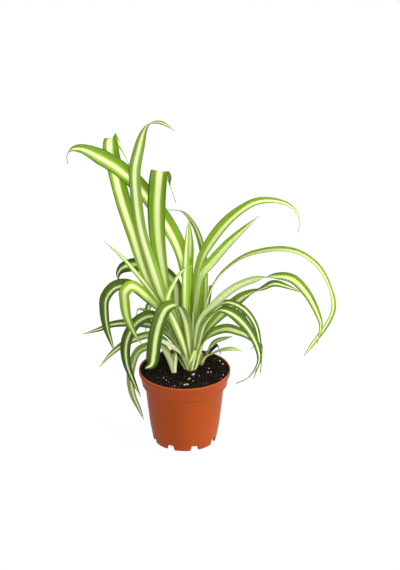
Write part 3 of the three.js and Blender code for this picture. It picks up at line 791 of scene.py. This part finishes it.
LEAVES = [
    Leaf("tall_left_back", "bright", root=(160, 88), heading=110, width=15.5, full=(0.6, 0.82), taper=1.2,
         roll=(0, 0, 0, 0, -18), twist=(0.8, 0.92, -54), through=(
        (-18, 11, 132), (-36, 15, 166), (-51, 22, 216), (-60, 27, 245), (-67, 31, 275), (-71, 35, 296),
        (-70, 41, 304), (-64, 46, 298), (-58, 50, 284), (-54, 53, 272),
    )),
    Leaf("big_left_arch", "bright", root=(260, 98), heading=180, width=16, full=(0.32, 0.84), taper=1,
         roll=(0, -35, -55, -60, -50), twist=(0.92, 0.96, 45), stripe=(-0.17, -0.02, 0.1), through=(
        (3, 0, 138), (1, 2, 175), (-5, 4, 202), (-15, 4, 226), (-28, 3, 248), (-43, 0, 271), (-61, -3, 290),
        (-80, -6, 304), (-98, -8, 313), (-107, -9, 312), (-111, -10, 306), (-110, -11, 299),
    )),
    Leaf("tall_centre", "bright", root=(200, 98), heading=240, width=13, full=(0.35, 0.7), taper=2,
         twist=(0.82, 0.92, -45), stripe=(-0.06, 0.02, 0), through=(
        (-5, -8, 121), (-21, -13, 157), (-34, -16, 200), (-42, -19, 233), (-46, -20, 265), (-47, -21, 296),
        (-43, -20, 316), (-37, -17, 335), (-32, -15, 341), (-22, -12, 341), (-9, -10, 332),
    )),
    Leaf("tall_folded", "bright", root=(140, 98), heading=75, width=18, full=(0.7, 0.74), taper=2,
         twist=(0.86, 0.92, 75), stripe=(0.06, 0.03, 0), through=(
        (-5, -1, 121), (-15, -6, 157), (-21, -9, 190), (-25, -12, 222), (-26, -14, 253), (-25, -14, 274),
        (-24, -13, 286), (-23.5, -9, 289), (-22, -3, 287), (-17, 2, 279), (-12, 4, 266), (-8, 5, 252),
    )),
    Leaf("swept_back_left", "bright", root=(45, 93), heading=45, width=8, roll=(0, 0, 30), through=(
        (18, 12, 124), (21, 17, 154), (20, 21, 182), (16, 24, 203), (9, 25, 221), (-2, 25, 234),
        (-16, 25, 236),
    )),
    Leaf("big_right_arch", "bright", root=(318, 98), heading=0, width=12.5, full=(0.45, 0.55), taper=1.1,
         roll=(0, 40, 30), stripe=(0.28, 0.02, 0.15), through=(
        (9, -3, 141), (12, -3, 173), (19, -2, 200), (32, 0, 222), (49, 3, 240), (68, 6, 252), (85, 8, 253),
        (100, 10, 248), (108, 11, 240), (112, 12, 228), (110, 12, 218),
    )),
    Leaf("upright", "bright", root=(80, 98), heading=90, width=10, full=(0.4, 0.4), through=(
        (4, 12, 135), (4, 14, 177), (6, 13, 204), (5, 14, 230),
    )),
    Leaf("straight_right", "bright", root=(20, 98), heading=30, width=10.5, roll=(0, 30, 30),
         stripe=(0.28, 0.14, 0.25), through=(
        (11, 7, 143), (15, 9, 172), (27, 11, 187), (44, 13, 207), (64, 15, 226), (72, 16, 233),
    )),
    Leaf("long_right_arch", "bright", root=(345, 92), heading=-15, width=8.5, full=(0.45, 0.86),
         roll=(0, 10, 10, 0, 60), stripe=(0.2, 0.16, 0.5), through=(
        (19, -3, 137), (30, -9, 174), (44, -14, 193), (63, -20, 208), (92, -28, 217), (111, -33, 215),
        (128, -37, 203), (140, -40, 180), (143, -42, 162), (138, -43, 147), (125, -45, 127), (116, -46, 113),
    )),
    Leaf("second_right_arch", "bright", root=(318, 88), heading=-25, width=9.5, full=(0.4, 0.7), taper=1.5,
         roll=(0, -55, -60, -55, -35), twist=(0.5, 0.68, 95), stripe=(0.1, 0.06, 0.35), through=(
        (15, -13, 133), (30, -19, 155), (49, -27, 176), (68, -34, 188), (87, -40, 194), (103, -45, 194),
        (117, -49, 181), (128, -52, 160), (131, -53, 149), (128, -54, 130),
    )),
    Leaf("wavy_right", "dark", root=(20, 85), heading=10, width=11, roll=(0, 30, 40, 55, -20, 40, 30),
         through=(
        (20, 10, 109), (35, 14, 127), (54, 16, 144), (64, 16, 150), (76, 14, 156), (88, 12, 163),
        (103, 9, 160), (115, 6, 156),
    )),
    Leaf("right_droop_inner", "dark", root=(345, 81), heading=-15, width=9, roll=(0, 15, 25), through=(
        (19, -3, 122), (28, -6, 143), (42, -10, 152), (57, -14, 147), (68, -16, 132), (73, -17, 110),
        (73, -18, 92), (68, -18, 74),
    )),
    Leaf("right_droop_front", "dark", root=(300, 85), heading=-45, width=13.5, full=(0.55, 0.57), taper=0.8,
         roll=(0, 10, 10), through=(
        (14, -11, 106), (21, -17, 134), (34, -25, 151), (46, -33, 151), (60, -42, 141), (70, -48, 124),
        (72, -52, 110), (62, -55, 94), (50, -56, 88),
    )),
    Leaf("low_right_arch", "dark", root=(315, 77), heading=-20, width=11, roll=(0, 35, 35), through=(
        (22, -10, 114), (40, -18, 128), (54, -25, 128), (64, -29, 124), (69, -31, 118), (65, -31, 113),
    )),
    Leaf("low_right_back", "dark", root=(0, 77), heading=5, width=8, roll=(0, 20, 20), through=(
        (23, 1, 112), (37, 1, 120), (53, 2, 116), (66, 3, 109), (75, 4, 99), (76, 4, 84), (75, 4, 69),
    )),
    Leaf("small_right", "dark", crown="right", root=(340, 81), heading=-20, width=7, roll=(0, 20, 20),
         through=(
        (29, 6, 101), (47, 1, 111),
    )),
    Leaf("small_right_low", "bright", crown="right", root=(290, 78), heading=-10, width=6, roll=(0, 25, 25),
         through=(
        (21, 5, 86), (33, 3, 93), (45, 1, 97), (58, -1, 96),
    )),
    Leaf("right_shoot", "dark", crown="right", root=(212, 76.5), heading=235, width=3.4, through=(
        (14.2, 6.4, 80), (14.1, 4.8, 84), (13.9, 3.9, 87),
    )),
    Leaf("thin_left", "bright", root=(175, 93), heading=175, width=6, roll=(0, -40, -40), through=(
        (-12, 3, 121), (-29, 3, 152), (-48, 2, 180), (-62, 1, 198), (-77, 0, 213),
    )),
    Leaf("left_arch_back", "dark", root=(127, 93), heading=140, width=14, full=(0.4, 0.66),
         roll=(0, -20, -60, -70, -60), through=(
        (-8, 16, 131), (-10, 25, 156), (-19, 30, 166), (-34, 33, 172), (-49, 35, 173), (-62, 36, 168),
        (-66, 36, 160), (-62, 37, 152), (-56, 38, 151),
    )),
    Leaf("left_droop_back", "dark", root=(150, 85), heading=190, width=12, full=(0.4, 0.72),
         roll=(0, -25, -40, -45), stripe=(-0.25, -0.03, 0), through=(
        (-19, 14, 125), (-39, 12, 148), (-55, 8, 163), (-68, 4, 163), (-77, 0, 153), (-78, -4, 140),
        (-76, -7, 124), (-72, -9, 110), (-69, -10, 100),
    )),
    Leaf("left_droop_bright", "bright", root=(210, 88), heading=200, width=13, full=(0.24, 0.7),
         roll=(0, -35, -25), stripe=(0, 0.05, 0.3), through=(
        (-13, -9, 127), (-24, -9, 143), (-38, -14, 162), (-51, -17, 173), (-57, -20, 168), (-57, -22, 161),
        (-55, -25, 145), (-48, -28, 128), (-41, -29, 116),
    )),
    Leaf("left_droop_front", "dark", root=(224, 85), heading=200, width=13, full=(0.4, 0.66),
         roll=(0, -25, -30), through=(
        (-9, -9, 107), (-17, -15, 125), (-23, -17, 137), (-32, -17, 141), (-44, -15, 135), (-53, -13, 121),
        (-57, -12, 105), (-56, -13, 87), (-51, -15, 72), (-43, -22, 56),
    )),
    Leaf("left_low_long", "dark", crown="left", root=(170, 90), heading=185, width=10, full=(0.25, 0.7),
         roll=(-15, -40, -45), bleach=0.15, through=(
        (-16, -6, 98), (-24, -6, 104), (-34, -6, 103), (-44, -5, 98), (-50, -3, 85), (-53, -2, 67),
        (-51, -3, 49), (-45, -4, 33), (-41, -5, 22),
    )),
    Leaf("front_left_broad", "dark", root=(268, 88), heading=235, width=14, full=(0.42, 0.88),
         roll=(0, -5, -15, -15), stripe=(-0.12, -0.04, 0), through=(
        (2, -17, 126), (-1, -22, 142), (-8, -28, 158), (-18, -34, 157), (-24, -39, 146), (-28, -44, 131),
        (-30, -47, 115), (-32, -49, 105), (-38, -50, 101),
    )),
    Leaf("far_left", "dark", root=(170, 77), heading=175, width=9, roll=(0, -40, -40), through=(
        (-9, 5.5, 98.5), (-20, 5.5, 113.5), (-34, 6, 121), (-54, 8, 122), (-73, 8, 120), (-83, 7, 116),
        (-100, 6, 111),
    )),
    Leaf("left_low_pointing", "dark", root=(207, 77), heading=180, width=8, roll=(0, -40, -40), through=(
        (-9, -1, 92.5), (-19, -2.5, 107.5), (-32, -3, 114), (-46, -3, 111), (-60, -3, 104), (-72, -3, 94),
        (-84, -4, 80),
    )),
    Leaf("left_curled", "dark", root=(190, 81), heading=180, width=6, roll=(0, -30, -30), through=(
        (-19, -3, 128), (-35, -3, 139), (-45, -4, 143), (-47, -5, 137),
    )),
    Leaf("centre_turned_right", "bright", root=(256, 81), heading=300, width=7, through=(
        (-1, -13, 107), (-8, -19, 132), (-16, -22, 155), (-16, -22, 164), (-11, -21, 176), (-3, -18, 189),
        (5, -14, 193), (9, -12, 192),
    )),
    Leaf("back_droop", "dark", root=(105, 88), heading=95, width=9, through=(
        (-1, 24, 127), (-2, 34, 136), (-5, 45, 145), (-4, 62, 133), (-3, 76, 116),
    )),
    Leaf("back_right_droop", "dark", root=(60, 88), heading=75, width=8, through=(
        (18, 22, 130), (22, 34, 144), (23, 46, 145), (23, 66, 120), (22, 77, 96),
    )),
    Leaf("back_low_left", "dark", root=(120, 77), heading=125, width=11, through=(
        (-6, 24, 112), (-18, 42, 128), (-30, 58, 124), (-38, 72, 104), (-40, 80, 78),
    )),
    Leaf("back_low_right", "dark", root=(55, 77), heading=50, width=11, through=(
        (20, 20, 108), (34, 36, 124), (48, 52, 122), (58, 66, 104), (62, 74, 80),
    )),
    Leaf("old_left", "bright", root=(243, 77), heading=215, width=9, full=(0.4, 0.6), roll=(0, -40, -40),
         bleach=0.75, through=(
        (-2, -13, 95), (-10, -18, 107), (-19, -21, 115), (-26, -22, 118),
    )),
    Leaf("torn_front", "bright", root=(278, 77), heading=250, width=3.8, full=(0.3, 0.85), through=(
        (8.2, -9.6, 86), (10.6, -13.6, 99), (10.6, -15.4, 103.5), (8.6, -16.4, 99.5), (4.4, -16, 89),
    )),
    Leaf("withered_back", "dried", crown="right", root=(80, 78), heading=40, width=4.5, roll=(0, 60, 60),
         through=(
        (20, 22, 80), (26, 26, 84), (32, 28, 88), (36, 28, 78),
    )),
]

# Slim short leaves close among the others, which have no solids of their own.
HEART_LEAVES = [
    Leaf("heart_front", "bright", root=(290, 96), heading=270, width=6.5, full=(0.3, 0.6), through=(
        (3, -7, 114), (0.8, -8.8, 140), (0.5, -8.8, 165), (1.4, -7.4, 194), (2.8, -5.4, 219), (4.1, -4, 239),
    )),
    Leaf("heart_back", "bright", root=(52, 99), heading=60, width=8.5, full=(0.35, 0.5), through=(
        (11, 12, 122), (14, 15, 150), (16.5, 17.5, 182), (18, 19, 204),
    )),
    Leaf("clasp_left", "dark", crown="left", root=(250, 74), heading=240, width=6.2, full=(0.35, 0.6),
         stripe=(0.25, 0.02, 0.55), through=(
        (-13, -9.6, 84), (-15.5, -11, 92), (-19, -12, 100), (-23.5, -12, 107),
    )),
    Leaf("clasp_right", "dark", crown="left", root=(320, 73), heading=290, width=4.6, full=(0.4, 0.6),
         stripe=(0, -0.2, 0.9), through=(
        (-8.7, -9.3, 82), (-8, -10, 90), (-8.4, -10.4, 99),
    )),
]


def midrib_points(leaf):
    crown = CROWNS[leaf.crown]
    degrees, height = leaf.root
    radius = crown_radius(crown, height) + SOIL_FIT + LEAF_THICKNESS / 2
    turn = math.radians(degrees)
    x = crown["at"][0] + radius * math.cos(turn)
    y = crown["at"][1] + radius * math.sin(turn)
    return [Vector(point) for point in [(x, y, height), *leaf.through]]


def smooth_path(points, step):
    """Points every step or so along a centripetal spline through the given ones."""
    ends = [points[0] * 2 - points[1], *points, points[-1] * 2 - points[-2]]
    dense = [points[0]]
    for a, b, c, d in zip(ends, ends[1:], ends[2:], ends[3:]):
        before, span, after = ((q - p).length ** 0.5 for p, q in ((a, b), (b, c), (c, d)))
        leave = ((b - a) / before - (c - a) / (before + span) + (c - b) / span) * span
        arrive = ((c - b) / span - (d - b) / (span + after) + (d - c) / after) * span
        for i in range(1, 25):
            t = i / 24
            dense.append(
                b * (2 * t**3 - 3 * t**2 + 1)
                + leave * (t**3 - 2 * t**2 + t)
                + c * (3 * t**2 - 2 * t**3)
                + arrive * (t**3 - t**2)
            )
    lengths = [0]
    for p, q in zip(dense, dense[1:]):
        lengths.append(lengths[-1] + (q - p).length)
    count = max(12, round(lengths[-1] / step))
    path = []
    k = 0
    for i in range(count + 1):
        wanted = lengths[-1] * i / count
        while k < len(dense) - 2 and lengths[k + 1] < wanted:
            k += 1
        share = (wanted - lengths[k]) / max(1e-9, lengths[k + 1] - lengths[k])
        path.append(dense[k].lerp(dense[k + 1], min(1, share)))
    return path, lengths[-1]


def smooth_share(value, high):
    share = min(1, max(0, value / high))
    return share * share * (3 - 2 * share)


def between(values, along):
    """The value at a share of the way through evenly spaced values."""
    place = along * (len(values) - 1)
    before = min(int(place), len(values) - 1)
    after = min(before + 1, len(values) - 1)
    return values[before] + (values[after] - values[before]) * (place - before)


def width_at(leaf, along):
    """A blade swells from its base, keeps its full width for a stretch, and draws out to its tip."""
    start, end = leaf.full
    spread = LEAF_BASE_WIDTH + (leaf.width - LEAF_BASE_WIDTH) * smooth_share(along, start)
    falling = max(0, (along - end) / (1 - end))
    return max(LEAF_TIP_WIDTH, spread * (1 - falling ** leaf.taper))


def roll_at(leaf, along):
    """How far a blade has rolled about its midrib: its even roll, and a sharp twist where it has one."""
    start, end, degrees = leaf.twist
    return between(leaf.roll, along) + degrees * smooth_share(along - start, end - start)


def leaf_mesh(leaf, seed):
    """A closed blade: a row of columns over the top and back under it at each station."""
    path, length = smooth_path(midrib_points(leaf), LEAF_STEP)
    turn = (leaf.heading - leaf.root[0] + 180) % 360 - 180
    points = []
    blade = []
    ruler = []
    under = []
    stations = len(path)
    columns = [2 * j / (LEAF_COLUMNS - 1) - 1 for j in range(LEAF_COLUMNS)]
    for i, centre in enumerate(path):
        along = i / (stations - 1)
        tangent = (path[min(i + 1, stations - 1)] - path[max(i - 1, 0)]).normalized()
        back = math.radians(leaf.root[0] + turn * smooth_share(along * length, LEAF_TURN))
        across = Vector((-math.sin(back), math.cos(back), 0))
        side = (across - tangent * across.dot(tangent)).normalized()
        side = Quaternion(tangent, math.radians(roll_at(leaf, along))) @ side
        up = tangent.cross(side)
        half = width_at(leaf, along) / 2
        fold = half * between(LEAF_FOLD, along)
        for face in (1, -1):
            for column in columns[::face]:
                thick = LEAF_THICKNESS * (0.5 - LEAF_EDGE_LOSS * abs(column) ** 1.5)
                spot = Vector((along * length * LEAF_WAVES_PER_MM, column, seed * 7.3))
                wave = noise.noise(spot) * half * LEAF_WAVE
                lift = fold * abs(column) ** 1.35 + wave * abs(column) ** 2 + face * thick
                points.append((centre + side * (column * half) + up * lift) * MM)
                blade.append((column / 2 + 0.5, along))
                ruler.append((column * half * MM, along * length * MM))
                under.append((1 - face) / 2)
    ring = 2 * LEAF_COLUMNS
    faces = []
    for i in range(stations - 1):
        for j in range(ring):
            a = i * ring + j
            b = i * ring + (j + 1) % ring
            faces.append((a, a + ring, b + ring, b))
    for first, flip in ((0, 1), ((stations - 1) * ring, -1)):
        for j in range(LEAF_COLUMNS - 1):
            quad = (first + j, first + j + 1, first + ring - 2 - j, first + ring - 1 - j)
            faces.append(quad[::flip])
    mesh = bpy.data.meshes.new("leaf_" + leaf.name)
    mesh.from_pydata(points, [], faces)
    for layer_name, values in (("blade", blade), ("ruler", ruler)):
        layer = mesh.uv_layers.new(name=layer_name)
        layer.data.foreach_set("uv", [v for loop in mesh.loops for v in values[loop.vertex_index]])
    lean, breadth, faint = leaf.stripe or (STRIPE_SPREAD * math.sin(seed * 4.1), 0, 0)
    whole = {
        "age": LEAF_AGE[leaf.tone] + AGE_SPREAD * math.sin(seed * 2.4 + 3),
        "seed": seed,
        "bleach": leaf.bleach,
        "lean": lean,
        "breadth": breadth,
        "faint": faint,
    }
    marks = {"under": under, **{mark: [value] * len(points) for mark, value in whole.items()}}
    for mark, values in marks.items():
        mesh.attributes.new(mark, "FLOAT", "POINT").data.foreach_set("value", values)
    mesh.shade_smooth()
    return mesh


YOUNG_GREEN = (0.13, 0.235, 0.005)
YOUNG_DEEP = (0.05, 0.095, 0.004)
OLD_GREEN = (0.025, 0.053, 0.0045)
OLD_DEEP = (0.01, 0.026, 0.003)
YOUNG_CREAM = (0.57, 0.61, 0.32)
OLD_CREAM = (0.51, 0.57, 0.26)
YOUNG_VEIN = (0.29, 0.41, 0.035)
OLD_VEIN = (0.1, 0.17, 0.03)
# BASE_GREEN is the lighter yellow-green of the lower blades: partly their own paler colour, and partly
# painted light.
BASE_GREEN = (0.24, 0.38, 0.028)
BASE_PALE = (0.46, 0.52, 0.2)
BLEACHED_PALE = (0.5, 0.46, 0.3)
TIP_BROWN = (0.2, 0.11, 0.04)
UNDER_PALE = (0.56, 0.6, 0.36)


def blade_paint():
    """Blade is a place's share across and along the leaf, and ruler is the same in metres."""
    paint = Paint("striped_leaf", roughness=0.5, specular_ior_level=0.1)
    paint.set("Subsurface Weight", 0.35)
    paint.set("Subsurface Scale", 0.0012)
    paint.set("Subsurface Radius", (0.5, 1, 0.3))
    blade = paint.node("ShaderNodeUVMap", {"uv_map": "blade"}, {})
    ruler = paint.node("ShaderNodeUVMap", {"uv_map": "ruler"}, {})
    across = paint.axis(blade, "X")
    along = paint.axis(blade, "Y")
    width_m = paint.axis(ruler, "X")
    length_m = paint.axis(ruler, "Y")
    marks = ("seed", "age", "under", "bleach", "lean", "breadth", "faint")
    seed, age, under, bleach, lean, breadth, faint = (
        paint.node("ShaderNodeAttribute", {"attribute_name": mark}, {}, "Fac") for mark in marks
    )
    from_midrib = abs(across * 2 - 1 + lean)
    lane = paint.node("ShaderNodeCombineXYZ", {}, {0: width_m * 1500, 1: length_m * 7, 2: seed * 3.7})
    fine_lane = paint.node("ShaderNodeCombineXYZ", {}, {0: width_m * 4200, 1: length_m * 20, 2: seed * 5.1})
    streaks = paint.grain(lane, 1, 3, 0.6)
    veins = paint.grain(fine_lane, 1, 2, 0.5)
    edge = from_midrib + (streaks - 0.5) * 0.3
    swelling = paint.grain(paint.node("ShaderNodeCombineXYZ", {}, {0: seed * 2.3, 1: length_m * 6}), 1, 1)
    low = 1 - paint.step(length_m + age * 0.06, 0.03, 0.19)
    cream = 1 - paint.step(edge - breadth - (swelling - 0.5) * 0.3 + age * 0.06 - low * 0.12, 0.17, 0.41)
    hairlines = paint.step(veins, 0.52, 0.7) * 0.4
    green = paint.blend(age, YOUNG_GREEN, OLD_GREEN)
    deep = paint.blend(age, YOUNG_DEEP, OLD_DEEP)
    # Painted shade: each green margin darkens towards the blade's edges, into the same deep green as the
    # streaks, which are the leaf's own.
    rim = paint.step(abs(across * 2 - 1), 0.72, 1.0) * 0.9
    streaks_and_edge_shade = ((streaks - 0.35).limit() * 1.3 + rim).limit()
    margin = paint.blend(streaks_and_edge_shade, green, deep)
    halo = paint.step(edge, 0.6, 0.3) * 0.55
    margin = paint.blend(halo, margin, paint.blend(age, YOUNG_VEIN, OLD_VEIN))
    # Towards the foot the margins blend to a lighter yellow-green: partly the blade's own paler base, and
    # partly painted light standing in for light that shines through the lower blades.
    margin = paint.blend(low * (0.85 - age * 0.3), margin, BASE_GREEN)
    pale = paint.blend(age, YOUNG_CREAM, OLD_CREAM)
    stripe = paint.blend(hairlines + faint, pale, paint.blend(age, YOUNG_VEIN, OLD_VEIN))
    skin = paint.blend(cream, margin, stripe)
    at_base = 1 - paint.step(length_m + (streaks - 0.5) * 0.03, 0.004, 0.06)
    skin = paint.blend(at_base * 0.12, skin, BASE_PALE)
    skin = paint.blend(bleach * paint.step(along, 0.1, 0.6), skin, BLEACHED_PALE)
    at_tip = paint.step(along, 0.985, 1.0) * 0.6
    skin = paint.blend(at_tip, skin, TIP_BROWN)
    washed = paint.blend(0.08 + faint, skin, UNDER_PALE)
    paint.set("Base Color", paint.blend(under * 0.85, skin, washed))
    paint.set("Roughness", 0.4 + veins * 0.16 + under * 0.12)
    paint.relief(veins * 0.4 + streaks, 0.00012, 0.7)
    return paint.material


def withered_paint():
    """Leaf scraps that have gone black-brown and papery."""
    paint = Paint("withered_leaf", roughness=0.85, specular_ior_level=0.2)
    where = paint.place()
    blotch = paint.grain(where, 260, 4)
    fibres = paint.grain(paint.stretched(where, (900, 900, 200)), 1, 3)
    tone = paint.blend(paint.step(blotch, 0.4, 0.7), (0.006, 0.004, 0.003), (0.05, 0.028, 0.014))
    paint.set("Base Color", tone)
    paint.relief(fibres + blotch, 0.0006)
    return paint.material


striped_leaf = blade_paint()
withered_leaf = withered_paint()
for seed, leaf in enumerate(LEAVES + HEART_LEAVES, 1):
    mesh = leaf_mesh(leaf, seed)
    mesh.materials.append(withered_leaf if leaf.tone == "dried" else striped_leaf)
    solids = ["leaf_" + leaf.name] if leaf in LEAVES else []
    add_piece("blade_" + leaf.name, mesh, solids)
